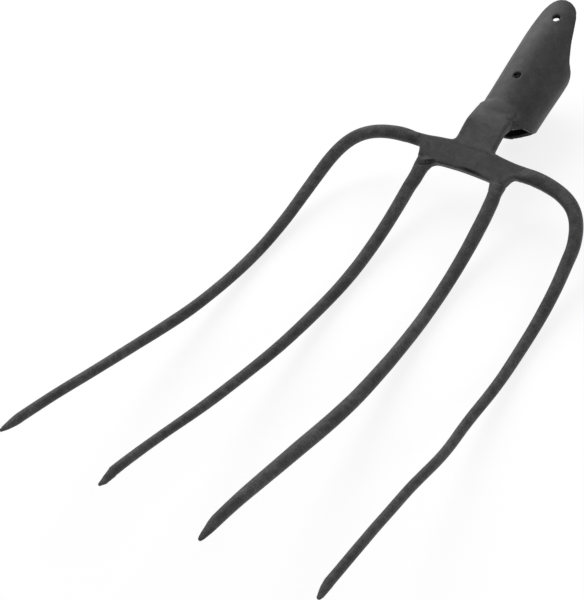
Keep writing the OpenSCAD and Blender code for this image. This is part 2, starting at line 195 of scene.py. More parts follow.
# How far up the mouth's edge strays from its plane, by the turn to the left; it dives where the neck joins
MOUTH_STRAY = [(-150, -0.6), (-130, 1.4), (-113, 1.6), (-100, -0.7), (-76, -1.7), (-67, -1.8), (-59, -2.8),
               (-52, -4), (-46, -5), (-42.5, -5.6), (-40.5, -9), (-37, -10), (30, -8), (40, -3), (52, 0),
               (120, 0), (150, -1)]
# Shallow valley above that edge: turn to the left, and how far up it lies
VALLEY = [(-60, 4), (-55, 3.2), (-42, 1), (-30, -1), (-22, -1.2)]
VALLEY_DEPTH = 0.6
VALLEY_HALF_W = 1.5
# How much the painted shade darkens the socket's right side
SOCKET_SIDE_SHADE = 0.24
# How far up the socket its mount lies
MOUNT_UP = 30

# Camera, in the row's frame, in millimetres and degrees
CAMERA_AT = (486.05, -533.18, 811.05)
CAMERA_TO = (-50.55, -26.97, 0)
CAMERA_ROLL = 15.728
CAMERA_LENS = 114
CAMERA_SENSOR = 36

# Materials
TONE = 0.085
ROUGH = 0.46
ROUGH_SPREAD = 0.09
SPECULAR = 0.16
# How much of the colour the darkest painted shade leaves
PAINTED_SHADE_LEAVES = 0.12

# Surroundings, in metres
FLOOR_HALF = 4.0
FLOOR_DROP = 0.0003
FLOOR_GREY = 0.4
FLOOR_GLOW = 0.8
ROOM_LIGHT = 0.22
LIT_PLACE = (0, 0, 0.02)
KEY = {"at": (-0.96, 0.71, 0.83), "size": 1.2, "power": 12}
FILL = {"at": (1.3, -0.55, 0.45), "size": 0.9, "power": 5}

# Grids of the meshes made from fields
FINE_STEP = 0.4
SOCKET_STEP = 0.6


def cosd(a):
    return np.cos(np.radians(a))


def sind(a):
    return np.sin(np.radians(a))


# Placing: from the construction's axes to the row's frame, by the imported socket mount

DELTA = HEAD_SLOPE - SOCKET_SLOPE
AXIS_T = MOUTH_AT - SOCKET_R * sind(DELTA)
AXIS_N = -CREST_SET - SOCKET_R * cosd(DELTA)


def head_to_side(x, t, n):
    """From the head's axes to x, y towards the socket and z up, before the head is laid down."""
    c = cosd(HEAD_SLOPE)
    s = sind(HEAD_SLOPE)
    return np.stack([x, t * c - n * s, t * s + n * c], -1)


mount = next(m for m in frame["record"]["mounts"] if m["name"] == "handle_socket")
REST_TILT = SOCKET_SLOPE - math.degrees(math.atan2(mount["axis"][2], mount["axis"][1]))


def side_to_head(p):
    """From the side axes back to the head's."""
    x, y, z = p[..., 0], p[..., 1], p[..., 2]
    c = cosd(HEAD_SLOPE)
    s = sind(HEAD_SLOPE)
    return np.stack([x, y * c + z * s, -y * s + z * c], -1)


def laid_down(p):
    """From the side axes to the head's place at rest, tilted about x."""
    x, y, z = p[..., 0], p[..., 1], p[..., 2]
    c = cosd(REST_TILT)
    s = sind(REST_TILT)
    return np.stack([x, y * c + z * s, -y * s + z * c], -1)


mount_t = AXIS_T + MOUNT_UP * cosd(DELTA)
mount_n = AXIS_N - MOUNT_UP * sind(DELTA)
SHIFT = np.array(mount["pos_m"]) * 1000 - laid_down(head_to_side(0.0, mount_t, mount_n))


def placed(p):
    """From millimetres before laying down to metres in the row's frame."""
    return (laid_down(p) + SHIFT) / 1000


# Bend of the tines


def slope(s):
    """How steeply the bent surface falls, in degrees."""
    return np.interp(s, [b[0] for b in BEND], [b[1] for b in BEND])


STEP = 1.0
side_s = np.arange(0, TINE_L + 2, STEP)
side_y = -np.concatenate([[0], np.cumsum(STEP * cosd(slope(side_s[:-1] + STEP / 2)))])
side_z = -np.concatenate([[0], np.cumsum(STEP * sind(slope(side_s[:-1] + STEP / 2)))])


def bent(x, s):
    """Place on the bent surface of a point of the flat blank."""
    s = np.asarray(s, float)
    y = np.where(s < 0, -s * cosd(HEAD_SLOPE), np.interp(s, side_s, side_y))
    z = np.where(s < 0, -s * sind(HEAD_SLOPE), np.interp(s, side_s, side_z))
    return np.stack([x + 0 * s, y, z], -1)


def front_of(s):
    """Direction square to the bent surface, towards its hollow side."""
    a = slope(s)
    return np.stack([0 * a, -sind(a), cosd(a)], -1)


def wave(s, at, reach):
    """A smooth rise and fall of 1 round a place."""
    off = np.clip(np.abs(np.asarray(s, float) - at) / reach, 0, 1)
    return (1 + np.cos(np.pi * off)) / 2


def rise(k):
    """A smooth step from 0 to 1 as k goes from 0 to 1."""
    return (1 - np.cos(np.pi * np.clip(k, 0, 1))) / 2


def through(knots, s):
    """A smooth curve through places and their values, level past both ends."""
    at = np.array([k[0] for k in knots], float)
    value = np.array([k[1] for k in knots], float)
    rate = np.gradient(value, at)
    rate[0] = rate[-1] = 0
    s = np.clip(s, at[0], at[-1])
    i = np.clip(np.searchsorted(at, s) - 1, 0, len(at) - 2)
    gap = at[i + 1] - at[i]
    k = (s - at[i]) / gap
    bend = gap * (rate[i] * k * (1 - k) ** 2 - rate[i + 1] * k * k * (1 - k))
    return value[i] * (1 + 2 * k) * (1 - k) ** 2 + value[i + 1] * k * k * (3 - 2 * k) + bend


def inner_x(s):
    """How far from the middle an inner tine lies."""
    lean = (s - WEB_DOWN) * math.tan(math.radians(INNER_LEAN))
    return INNER_ROOT_X + lean + INNER_SET * rise((s - ROOT_S) / 30) + INNER_BOW * wave(s, 180, 110)


SHOULDER_TURN = 90 - OUTER_LEAN
SHOULDER_L = math.pi * SHOULDER_R * SHOULDER_TURN / 180
SHOULDER_S = SHOULDER_R * (1 - cosd(SHOULDER_TURN))


def outer_plan(l):
    """Place in the flat blank of an outer tine's middle, by its length from the scarf."""
    turn = np.clip(180 * (l - OUTER_ROOT_L) / (math.pi * SHOULDER_R), 0, SHOULDER_TURN)
    past = np.maximum(l - OUTER_ROOT_L - SHOULDER_L, 0)
    x = SCARF_X + np.minimum(l, OUTER_ROOT_L) + SHOULDER_R * sind(turn) + past * sind(OUTER_LEAN)
    s = SHOULDER_R * (1 - cosd(turn)) + past * cosd(OUTER_LEAN)
    return x, s


def outer_length(end):
    """Length of an outer tine that reaches a distance along the bend."""
    return OUTER_ROOT_L + SHOULDER_L + (end - SHOULDER_S) / cosd(OUTER_LEAN)


def ripple(s, seed, size, longest=90):
    """Slow unevenness along a forged tine: four waves of falling length."""
    total = 0
    for i in range(4):
        length = longest / 1.7 ** i
        total = total + np.sin(2 * np.pi * s / length + seed * (i + 1.3)) / (i + 1)
    return size * total / 2


# Meshes


def make_piece(name, points, faces, nodes, painted_shade=None):
    """A smooth mesh from places in metres that stands for CAD nodes, with its painted shade as an attribute.
    """
    mesh = bpy.data.meshes.new(name)
    mesh.from_pydata([tuple(p) for p in points], [], [tuple(int(i) for i in f) for f in faces])
    mesh.validate()
    mesh.shade_smooth()
    # painted shade for each point, which the material reads
    layer = mesh.attributes.new("painted_shade", "FLOAT", "POINT")
    if painted_shade is not None:
        layer.data.foreach_set("value", painted_shade.astype(np.float32))
    piece = bpy.data.objects.new(name, mesh)
    bpy.context.scene.collection.objects.link(piece)
    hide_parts(*nodes)
    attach(piece, "root")
    return piece


SIDES = 32
RING_TURN = 2 * np.pi * np.arange(SIDES) / SIDES


def sweep_faces(count):
    """The faces between rings, and the two that close their ends."""
    faces = []
    for j in range(count - 1):
        for i in range(SIDES):
            k = (i + 1) % SIDES
            faces.append((j * SIDES + i, j * SIDES + k, (j + 1) * SIDES + k, (j + 1) * SIDES + i))
    last = (count - 1) * SIDES
    faces.append(tuple(range(SIDES - 1, -1, -1)))
    faces.append(tuple(range(last, last + SIDES)))
    return faces


def stations(full):
    """Distances along a tine, closer together at its root and its point."""
    return np.concatenate([[0, 0.4], np.arange(1.2, 14, 0.9), np.arange(14, full - 18, 1.8),
                           np.linspace(full - 18, full - NOSE, 20)])


def tine_middle(look, l, full, seed):
    """Places in the flat blank of a tine's middle, to the right and along the bend."""
    side = look["side"]
    l = np.clip(l, 0, full)
    if look["outer"]:
        x, s = outer_plan(l)
        x_on, s_on = outer_plan(l + 0.5)
        x_back, s_back = outer_plan(l - 0.5)
        stray = through(look["stray"], l) + ripple(s, seed, MIDDLE_WAVE)
        return side * (x + stray * (s_on - s_back)), s - stray * (x_on - x_back)
    s = WEB_DOWN + l
    return side * inner_x(s) + through(look["stray"], s) + ripple(s, seed, MIDDLE_WAVE), s


def tine_reaches(look, at, left_over, seed):
    """Reach of a tine's section to its left, right, front and back."""
    half = through(look["wide"], at) / 2 + ripple(at, seed + 4.4, WIDTH_WAVE, 60)
    low = half.copy()
    high = half.copy()
    rows = np.array(look["point"][::-1])
    tip = left_over < rows[-1, 0]
    low[tip] = np.interp(left_over[tip], rows[:, 0], rows[:, 1])
    high[tip] = np.interp(left_over[tip], rows[:, 0], rows[:, 2])
    thick = half - look["flat"] * wave(at, FLAT_AT, FLAT_REACH)
    k = np.clip((rows[-1, 0] - left_over) / (rows[-1, 0] - NOSE), 0, 1)
    front = thick * (1 - k) + look["front"] * k
    back = thick * (1 - k * k) + look["back"] * k * k
    return low, high, front, back


def tine(name, look, seed):
    """One tine, swept along its bend from its root to its point."""
    end = TINE_L - look["short"]
    full = outer_length(end) if look["outer"] else end - WEB_DOWN
    l = stations(full)
    x, s = tine_middle(look, l, full, seed)
    front = front_of(s)
    lift = ripple(s, seed + 2.1, LIFT_WAVE) * rise((s - 40) / 40)
    centres = bent(x, s) + front * lift[:, None]
    along = bent(*tine_middle(look, l + 0.6, full, seed)) - bent(*tine_middle(look, l - 0.6, full, seed))
    along /= np.linalg.norm(along, axis=1)[:, None]
    across = np.cross(front, along)
    reaches = tine_reaches(look, l if look["outer"] else s, full - l, seed)
    square = look["squareness"] * (0.35 + 0.65 * rise(1 - (s - 30) / 90))
    rings = []
    for i in range(len(l)):
        wide, deep = tine_section(square[i], *[reach[i] for reach in reaches])
        rings.append(centres[i] + np.outer(wide, across[i]) + np.outer(deep, front[i]))
    flush_root(rings, look, l)
    rings += nose_rings(rings[-1], along[-1])
    # painted shade on one side of the root
    root_shading = np.zeros((len(rings), SIDES))
    if look["shaded_turn"] is not None:
        root_shading[:len(l)] = root_shade(look["shaded_turn"], l)
    return make_piece(name, placed(np.concatenate(rings)), sweep_faces(len(rings)), [name], root_shading.ravel())


def tine_section(square, low, high, fore, back):
    """How far each side of a tine's section lies across and to the front, a little squared."""
    c = np.cos(RING_TURN)
    n = np.sin(RING_TURN)
    swell = 1 + square * ((1 - np.cos(4 * RING_TURN)) / 2 - 0.83)
    wide = c * np.where(c > 0, high, low)
    if min(low, high) < 1:
        wide = c * (high + low) / 2 + (high - low) / 2
    deep = n * np.where(n > 0, fore, back)
    return wide * swell, deep * swell


def nose_rings(last, along):
    """The rings that round off a tine's end past its last full one."""
    middle = last.mean(0)
    return [middle + (last - middle) * cosd(turn) + along * NOSE * sind(turn) for turn in (28, 52, 70, 82)]


def root_shade(turn, l):
    """Painted shade on one side of a tine's root, fading along it."""
    round_it = np.maximum(np.cos(RING_TURN - math.radians(turn)), 0)
    return ROOT_SHADE * np.outer(1 - rise(l / ROOT_SHADE_L), round_it)


def flush_root(rings, look, l):
    """Turns a tine's first rings into the face it is welded to, and ends them flush with the crosshead."""
    side = look["side"]
    for j in range(len(l)):
        if l[j] > FLUSH_L:
            break
        p = side_to_head(rings[j])
        if look["outer"]:
            p[:, 0] += side * p[:, 1] * math.tan(math.radians(SCARF)) * (1 - rise(l[j] / SCARF_L))
        middle = p.mean(0)
        ray = p - middle
        own = np.linalg.norm(ray, axis=1)
        ray /= own[:, None]
        skin = skin_reach(middle, ray, own * 0.6, own + 0.5)
        share = rise((l[j] - 4) / 8)
        r = np.minimum(skin, own + 0.4) * (1 - share) + own * share
        r -= SEAT_AIR if j == 0 else 0
        rings[j] = head_to_side(*(middle + ray * r[:, None]).T)


def skin_reach(middle, ray, low, high):
    """How far along each ray the merged head's skin lies, by halving between two bounds."""
    for _ in range(14):
        r = (low + high) / 2
        inside = merged_field(*(middle + ray * r[:, None]).T, False) < 0
        low = np.where(inside, r, low)
        high = np.where(inside, high, r)
    return low


# Fields: signed distances in the head's axes, negative inside the metal


def rounded(a, b, r):
    """The overlap of two distances, its corner rounded by r."""
    a = a + r
    b = b + r
    return np.minimum(np.maximum(a, b), 0) + np.hypot(np.maximum(a, 0), np.maximum(b, 0)) - r


def joined(a, b, k):
    """The union of two fields, with a fillet."""
    h = np.maximum(k - np.abs(a - b), 0) / k
    return np.minimum(a, b) - h * h * k / 4


def without(a, b, k):
    """Field a with field b cut out, the new edge eased."""
    return -joined(-a, b, k)


def outline(px, py, corners):
    """Signed distance to a closed outline."""
    nearest = np.full(px.shape, 1e9)
    inside = np.zeros(px.shape, bool)
    for (ax, ay), (bx, by) in zip(corners, corners[1:] + corners[:1]):
        ex, ey = bx - ax, by - ay
        wx, wy = px - ax, py - ay
        k = np.clip((wx * ex + wy * ey) / (ex * ex + ey * ey), 0, 1)
        nearest = np.minimum(nearest, (wx - k * ex) ** 2 + (wy - k * ey) ** 2)
        left = ex * wy - ey * wx
        inside ^= ((ay <= py) & (by > py) & (left > 0)) | ((ay > py) & (by <= py) & (left < 0))
    return np.where(inside, -1, 1) * np.sqrt(nearest)


def dents(x, t, n, size):
    """Soft unevenness left by the hammer."""
    a = np.sin(x / 3.1 + 1.3 * np.sin(t / 4.3)) * np.sin(t / 3.7 + 0.6) * np.cos(n / 3.9 + 0.4)
    b = np.sin(x / 6.7 + 0.9) * np.sin(t / 7.9 + 1.1 * np.sin(x / 8.3))
    return size * (0.6 * a + b)


def filleted_outline(corners):
    """A closed outline whose corners are rounded over their reach."""
    out = []
    for i, (bx, by, reach) in enumerate(corners):
        a = np.array(corners[i - 1][:2], float)
        b = np.array([bx, by], float)
        c = np.array(corners[(i + 1) % len(corners)][:2], float)
        if reach == 0:
            out.append((bx, by))
            continue
        start = b + (a - b) * min(reach / np.linalg.norm(a - b), 0.49)
        stop = b + (c - b) * min(reach / np.linalg.norm(c - b), 0.49)
        for k in np.linspace(0, 1, 6):
            out.append(tuple((1 - k) ** 2 * start + 2 * k * (1 - k) * b + k * k * stop))
    return out


def head_outline(welded):
    """The outline of the crosshead and its stumps, with its welds or without."""
    lower = [(x, t, 3, 3) for x, t in reversed(LOWER_EDGE[1:-1])]
    corners = RIGHT_HALF + lower + LEFT_HALF[::-1]
    return filleted_outline([(x, t, with_weld if welded else bare) for x, t, with_weld, bare in corners])


OUTLINE = {welded: head_outline(welded) for welded in (False, True)}


def scarf_plane(x, t, side):
    """Distance past the plane of an outer tine's scarf."""
    return (side * x - SCARF_X) * cosd(SCARF) - t * sind(SCARF)


def merged_field(x, t, n, welded):
    """The crosshead with the roots of all that is welded to it, as one body."""
    flat = outline(x, t, OUTLINE[welded])
    # the tines' roots turn round: the outer ones past their scarfs, the inner ones below the web
    outer = np.where(x > 0, rise((scarf_plane(x, t, 1) + 2) / 14), rise((scarf_plane(x, t, -1) + 1.5) / 4))
    inner = np.where(x > 0, rise((-9 - t) / 9), rise((-9 - t) / 5)) * rise((np.abs(x) - 17) / 4)
    round_share = np.maximum(outer, inner)
    root = np.where(inner > outer, INNER_ROOT_R, np.where(x > 0, OUTER_ROOT_R[1], OUTER_ROOT_R[-1]))
    neck = rise((t - 5) / 4) * rise((17 - np.abs(x)) / 3)
    half = WEB_T / 2 + (root - WEB_T / 2) * round_share - 0.6 * neck
    middle = (WEB_FRONT - WEB_T / 2) * (1 - round_share) + 0.1 * neck
    edge = WEB_EDGE_R + (root - WEB_EDGE_R) * round_share + 0.3 * neck
    f = rounded(flat, np.abs(n - middle) - half, edge)
    for centre, reach, lean in FLAWS:
        f = without(f, flaw_distance(x, t, n, centre, reach, lean), EDGE_EASE)
    return f


def ellipsoid(x, t, n, centre, reach):
    """Rough distance to an ellipsoid, from its middle and its three reaches."""
    k = np.sqrt(sum(((p - c) / r) ** 2 for p, c, r in zip((x, t, n), centre, reach)))
    return (k - 1) * min(reach)


def flaw_distance(x, t, n, centre, reach, lean):
    """Rough distance to a flaw, whose middle line rises by its lean for each millimetre to the right."""
    return ellipsoid(x, t - lean * (x - centre[0]), n, centre, reach)


def crosshead_field(x, t, n):
    """The crosshead, cut at its scarfs, its upper edge and its bevelled lower edge."""
    f = merged_field(x, t, n, False)
    for side in (-1, 1):
        f = rounded(f, scarf_plane(x, t, side), CUT_EASE)
    f = rounded(f, t - WEB_UP, CUT_EASE)
    low = through(LOWER_EDGE, x)
    f = rounded(f, low - 0.15 - t, CUT_EASE)
    # the bevel below, small on the left and wider on the right, which dies out towards the inner tines
    size = 0.9 * rise((x + 17) / 5) + 0.9 * rise((x + 3) / 8) - 1.8 * rise((x - 12) / 6) - 0.7
    f = without(f, (t - low - n + WEB_FRONT - size) * 0.7, EDGE_EASE)
    return f + dents(x, t, n, DENT)


def strap_field(x, t, n):
    """The neck's strap, whose edges turn into the socket sooner than its middle."""
    sooner = 1.8 * np.clip(np.abs(x) / 12.5, 0, 1.1) ** 4 * rise((t - 19) / 6)
    flat = outline(t + sooner, n, STRAP_SIDE)
    return rounded(flat, np.abs(x - NECK_SET) - NECK_W / 2, NECK_EDGE_R) + dents(x, t, n, DENT)


def socket_axes(x, t, n):
    """Distance up the socket, out of its skin's middle, turn from its crest to the left, and its radius."""
    x = x - SOCKET_SET
    u = (t - AXIS_T) * cosd(DELTA) - (n - AXIS_N) * sind(DELTA)
    swell = through(SWELL, u)
    h = (t - AXIS_T) * sind(DELTA) + (n - AXIS_N) * cosd(DELTA) + swell
    radius = MIDDLE_R + swell
    return u, np.hypot(x, h) - radius, np.arctan2(-x, h), radius


MIDDLE_R = SOCKET_R - SKIN_BELOW - SHEET_T / 2


def mouth_at(turn):
    """How far up the socket its mouth's edge lies."""
    off = (turn - NOTCH_AT + 180) % 360 - 180
    plane = MOUTH_MIDDLE - MOUTH_SLANT / 2 * cosd(turn) - MOUTH_SKEW / 2 * sind(turn)
    return plane + NOTCH_DEPTH * wave(off, 0, NOTCH_REACH) + through(MOUTH_STRAY, turn)


def smooth_line(points, steps):
    """A curve through the points."""
    p = np.array([points[0]] + list(points) + [points[-1]], float)
    out = []
    for i in range(1, len(p) - 2):
        for k in np.arange(steps) / steps:
            a, b, c, d = p[i - 1], p[i], p[i + 1], p[i + 2]
            out.append(0.5 * (2 * b + (c - a) * k + (2 * a - 5 * b + 4 * c - d) * k * k
                              + (3 * b - a - 3 * c + d) * k ** 3))
    out.append(p[-2])
    return out


def rolled_outline():
    """The rolled plate laid flat: across it and up the socket."""
    flat = math.pi * MIDDLE_R / 180
    edge = smooth_line([(a * flat, u) for a, u in EDGE], 5)
    centre = SOCKET_END - TONGUE_END_R
    start = math.degrees(math.asin(min(1, edge[-1][0] / TONGUE_END_R)))
    end = [(TONGUE_END_R * sind(a), centre + TONGUE_END_R * cosd(a)) for a in np.linspace(start, 0, 7)[1:]]
    last = EDGE[0][0] * flat
    right = [(last + 3.2, EDGE[0][1] - 1)] + [tuple(p) for p in edge] + end
    left = [(-a, b) for a, b in reversed(right[:-1])]
    turns = np.linspace(right[0][0], -right[0][0], 110)
    mouth = [(a, mouth_at(a / flat)) for a in -turns]
    # positive across is to the left, as the turn is
    return [(float(a + tongue_shift(u)), float(u)) for a, u in right + left + mouth]


def tongue_shift(u):
    """How far the tongue is set to the left, up the socket."""
    return TONGUE_SET * (rise((u - 56) / 12) - 0.7 * rise((u - 80) / 8))


ROLLED = rolled_outline()


def sheet_field(x, t, n):
    """The rolled plate, its edges rounded."""
    u, out, turn, _ = socket_axes(x, t, n)
    deep = np.abs(out) - SHEET_T / 2
    f = deep.copy()
    near = deep < 2.5
    flat = outline((MIDDLE_R * turn)[near], u[near], ROLLED)
    f[near] = rounded(flat, deep[near], SHEET_EDGE_R)
    return f


def hole_distance(x, t, n, up, left, lower):
    """Distance from a nail hole's wall, and how far below the plate's skin."""
    u, out, turn, radius = socket_axes(x, t, n)
    r = radius + out
    h = r * np.cos(turn)
    c = cosd(left)
    s = sind(left)
    deep = SHEET_T / 2 - out
    across = x * c + h * s
    off = np.hypot(across, u - up + lower * deep / SHEET_T)
    wall = off - HOLE_D / 2 + HOLE_NARROWING * deep
    return np.maximum(wall, x * s - h * c), deep


def socket_field(x, t, n):
    """The strap and the rolled plate joined, with their nail holes."""
    u, out, turn, _ = socket_axes(x, t, n)
    f = joined(strap_field(x, t, n), sheet_field(x, t, n), 2.2 + 3.3 * rise((u + 1) / 8))
    f = without(f, np.maximum(out + SHEET_T / 2, -4 - u), EDGE_EASE)
    # a shallow valley above the mouth's edge, right of the neck
    degrees = np.degrees(turn)
    off = np.abs(u - through(VALLEY, degrees)) / VALLEY_HALF_W
    near_neck = rise((17 - np.abs(degrees + 40)) / 6)
    f = f + VALLEY_DEPTH * rise(1 - off) * near_neck * (out > -1) * (out < 7)
    for hole in HOLES:
        f = without(f, hole_distance(x, t, n, *hole)[0], HOLE_EASE)
    return f + dents(x + 9, t + 5, n, 0.07)


def socket_painted_shade(x, t, n):
    """Painted shade inside the socket, along the back of its mouth's edge, on its right side and in its nail
    holes.
    """
    u, out, turn, _ = socket_axes(x, t, n)
    # painted shade on the inside of the bore
    painted_shade = rise((-out - 0.2) / 1.0) * (1 - rise((u - 62) / 14)) * rise((u + 2) / 3)
    degrees = np.degrees(turn)
    # painted shade along the back of the mouth's edge
    rim = rise((mouth_at(degrees) + 0.8 - u) / 0.4) * (out < 1.5)
    painted_shade = np.maximum(painted_shade, rim * np.maximum(rise((-64 - degrees) / 8), rise((degrees - 110) / 10)))
    # painted shade on its right side, short of the rim
    side = rise((-22 - degrees) / 26) * rise((degrees + 96) / 14)
    painted_shade = np.maximum(painted_shade, SOCKET_SIDE_SHADE * side * rise((56 - u) / 16) * (out > -1))
    # painted shade in the nail holes
    for hole in HOLES:
        wall, deep = hole_distance(x, t, n, *hole)
        painted_shade = np.maximum(painted_shade, rise((0.35 - np.abs(wall)) / 0.3) * rise((deep - 0.3) / 0.7))
    return painted_shade


def flaw_painted_shade(x, t, n):
    """Painted shade in the crosshead's fold and pit."""
    return np.maximum.reduce([FLAW_SHADE * rise(1.2 - flaw_distance(x, t, n, *flaw) / EDGE_EASE)
                              for flaw in FLAWS])


def weld_field(x, t, n, centre, reach):
    """The head's merged skin round a weld's middle, sinking below its neighbours' at the weld's rim."""
    far = np.sqrt((x - centre[0]) ** 2 + (t - centre[1]) ** 2 + (0.7 * n) ** 2)
    sink = WELD_SINK * np.clip((far - reach) / 3, 0, 1) ** 2 - CORNER_WELD_UP
    return np.maximum(merged_field(x, t, n, True) + dents(x, t, n, DENT) + sink, far - reach - 2.8)


def weld_neck_field(x, t, n):
    """The weld across the neck's foot, with a low ridge along part of it."""
    away = np.hypot(t - WEB_UP, np.maximum(np.abs(x) - 14.5, 0))
    sink = WELD_SINK * np.clip((away - 2.0) / 2.6, 0, 1) ** 2 - NECK_WELD_UP
    ridge = 0.07 * wave(t, 4.6 - 0.04 * x, 1.1) * wave(x, -3, 8)
    base = merged_field(x, t, n, True) + dents(x, t, n, DENT)
    return np.maximum(base - ridge + sink, away - 4.6)


def surface(field, low, high, step):
    """A closed mesh of a field's zero, by surface nets, with its corners moved onto the zero."""
    counts = [int(math.ceil((b - a) / step)) + 1 for a, b in zip(low, high)]
    axes = [a + step * np.arange(c) for a, c in zip(low, counts)]
    values = field(*np.meshgrid(*axes, indexing="ij"))
    points, number = net_points(values)
    return onto_zero(field, np.array(low) + step * points, step), net_faces(values < 0, number)


CELL_CORNERS = [(i, j, k) for i in (0, 1) for j in (0, 1) for k in (0, 1)]


def at_corner(array, corner):
    """The values of a grid at one corner of all its cells."""
    return array[tuple(slice(c, array.shape[d] - 1 + c) for d, c in enumerate(corner))]


def net_points(values):
    """A point in each cell that the zero passes through, in steps of the grid, and its number by cell."""
    inside = values < 0
    total = sum(at_corner(inside, c).astype(np.int8) for c in CELL_CORNERS)
    mixed = (total > 0) & (total < 8)
    cells = np.argwhere(mixed)
    summed = np.zeros((len(cells), 3))
    hits = np.zeros(len(cells))
    for a in CELL_CORNERS:
        for axis in range(3):
            if a[axis]:
                continue
            b = tuple(1 if d == axis else c for d, c in enumerate(a))
            va = at_corner(values, a)[mixed]
            vb = at_corner(values, b)[mixed]
            crosses = (va < 0) != (vb < 0)
            share = np.where(crosses, va / np.where(crosses, va - vb, 1), 0)
            place = np.tile(np.array(a, float), (len(cells), 1))
            place[:, axis] = share
            summed += place * crosses[:, None]
            hits += crosses
    number = np.full(mixed.shape, -1)
    number[mixed] = np.arange(len(cells))
    return cells + summed / hits[:, None], number


def net_faces(inside, number):
    """A face across each edge of the grid that passes through the zero."""
    faces = []
    for axis in range(3):
        u, w = ((1, 2), (2, 0), (0, 1))[axis]
        first = np.take(inside, range(inside.shape[axis] - 1), axis)
        second = np.take(inside, range(1, inside.shape[axis]), axis)
        for turned, changes in ((False, first & ~second), (True, ~first & second)):
            edges = np.argwhere(changes)
            quad = []
            for du, dw in ((-1, -1), (0, -1), (0, 0), (-1, 0)):
                cell = edges.copy()
                cell[:, u] += du
                cell[:, w] += dw
                quad.append(number[cell[:, 0], cell[:, 1], cell[:, 2]])
            quad = np.stack(quad, 1)
            faces.append(quad[:, ::-1] if turned else quad)
    return np.concatenate(faces)


def onto_zero(field, points, step, h=0.05):
    """The points after three short moves onto the field's zero."""
    for _ in range(3):
        value = field(*points.T)
        grad = np.stack([(field(*(points + h * e).T) - field(*(points - h * e).T)) / (2 * h)
                         for e in np.eye(3)], 1)
        size = np.maximum((grad ** 2).sum(1), 0.05)
        move = -(value / size)[:, None] * grad
        far = np.linalg.norm(move, axis=1)
        move *= np.minimum(1, 0.4 * step / np.maximum(far, 1e-9))[:, None]
        points = points + move
    return points


def field_piece(name, field, low, high, step, painted_shade=None):
    """A piece made from a field of the head's axes, with its painted shade from another."""
    points, faces = surface(field, low, high, step)
    shade_amount = painted_shade(*points.T) if painted_shade else None
    return make_piece(name, placed(head_to_side(*points.T)), faces, [name], shade_amount)


# Materials


def node_tree(owner):
    """The emptied nodes of a material or a world."""
    owner.use_nodes = True
    tree = owner.node_tree
    tree.nodes.clear()
    return tree


def larger(tree, a, b):
    """The larger of two values in a node tree."""
    node = tree.nodes.new("ShaderNodeMath")
    node.operation = "MAXIMUM"
    tree.links.new(a, node.inputs[0])
    tree.links.new(b, node.inputs[1])
    return node.outputs[0]


def charcoal(name, rough=ROUGH, scale=1.0, bump=0.25, contrast=1.0):
    """Dark oxidised and oiled steel: mottled grey, speckled, with a satin sheen."""
    material = bpy.data.materials.new(name)
    tree = node_tree(material)
    new = tree.nodes.new
    link = tree.links.new
    out = new("ShaderNodeOutputMaterial")
    bsdf = new("ShaderNodeBsdfPrincipled")
    link(bsdf.outputs["BSDF"], out.inputs["Surface"])
    where = new("ShaderNodeTexCoord")

    def noise(size_mm, detail, roughness=0.55):
        n = new("ShaderNodeTexNoise")
        n.inputs["Scale"].default_value = 1000 / size_mm / scale
        n.inputs["Detail"].default_value = detail
        n.inputs["Roughness"].default_value = roughness
        link(where.outputs["Object"], n.inputs["Vector"])
        return n.outputs["Fac"]

    def ramp(value, stops):
        r = new("ShaderNodeValToRGB")
        link(value, r.inputs["Fac"])
        elements = r.color_ramp.elements
        while len(elements) < len(stops):
            elements.new(0.5)
        for e, (at, grey) in zip(elements, stops):
            e.position = at
            e.color = (grey, grey, grey, 1)
        return r.outputs["Color"]

    def mix(kind, a, b, share):
        m = new("ShaderNodeMix")
        m.data_type = "RGBA"
        m.blend_type = kind
        m.inputs["Factor"].default_value = share
        link(a, m.inputs["A"])
        link(b, m.inputs["B"])
        return m.outputs["Result"]

    def bumped(height, depth):
        b = new("ShaderNodeBump")
        b.inputs["Strength"].default_value = bump
        b.inputs["Distance"].default_value = depth
        link(height, b.inputs["Height"])
        return b

    patches = ramp(noise(26, 3), [(0.3, 0.74 * TONE), (0.5, TONE), (0.72, 1.26 * TONE)])
    mottle = ramp(noise(5.5, 4, 0.6), [(0.3, 1 - 0.2 * contrast), (0.5, 1.0), (0.72, 1 + 0.22 * contrast)])
    speckle = ramp(noise(1.3, 2, 0.7), [(0.35, 1 - 0.15 * contrast), (0.55, 1.0), (0.75, 1 + 0.2 * contrast)])
    colour = mix("MULTIPLY", patches, mottle, 1.0)
    colour = mix("MULTIPLY", colour, speckle, 1.0)
    # the mesh's painted shade darkens the colour
    shade_amount = new("ShaderNodeAttribute")
    shade_amount.attribute_name = "painted_shade"
    shade_factor = ramp(shade_amount.outputs["Fac"], [(0.0, 1.0), (1.0, PAINTED_SHADE_LEAVES)])
    colour = mix("MULTIPLY", colour, shade_factor, 1.0)
    link(colour, bsdf.inputs["Base Color"])
    bsdf.inputs["Metallic"].default_value = 0.0
    bsdf.inputs["Specular IOR Level"].default_value = SPECULAR
    rough_map = new("ShaderNodeMapRange")
    link(noise(4, 3), rough_map.inputs["Value"])
    rough_map.inputs["To Min"].default_value = rough - ROUGH_SPREAD
    rough_map.inputs["To Max"].default_value = rough + ROUGH_SPREAD
    link(rough_map.outputs["Result"], bsdf.inputs["Roughness"])
    fine = bumped(noise(0.8, 4, 0.65), 0.0002)
    coarse = bumped(noise(4.5, 2, 0.5), 0.0006)
    link(fine.outputs["Normal"], coarse.inputs["Normal"])
    link(coarse.outputs["Normal"], bsdf.inputs["Normal"])
    return material


steel = charcoal("charcoal_steel")
tine_steel = charcoal("charcoal_tines", scale=0.8, bump=0.5, contrast=1.9)
weld_steel = charcoal("charcoal_weld", rough=ROUGH - 0.01, scale=0.8, bump=0.3)

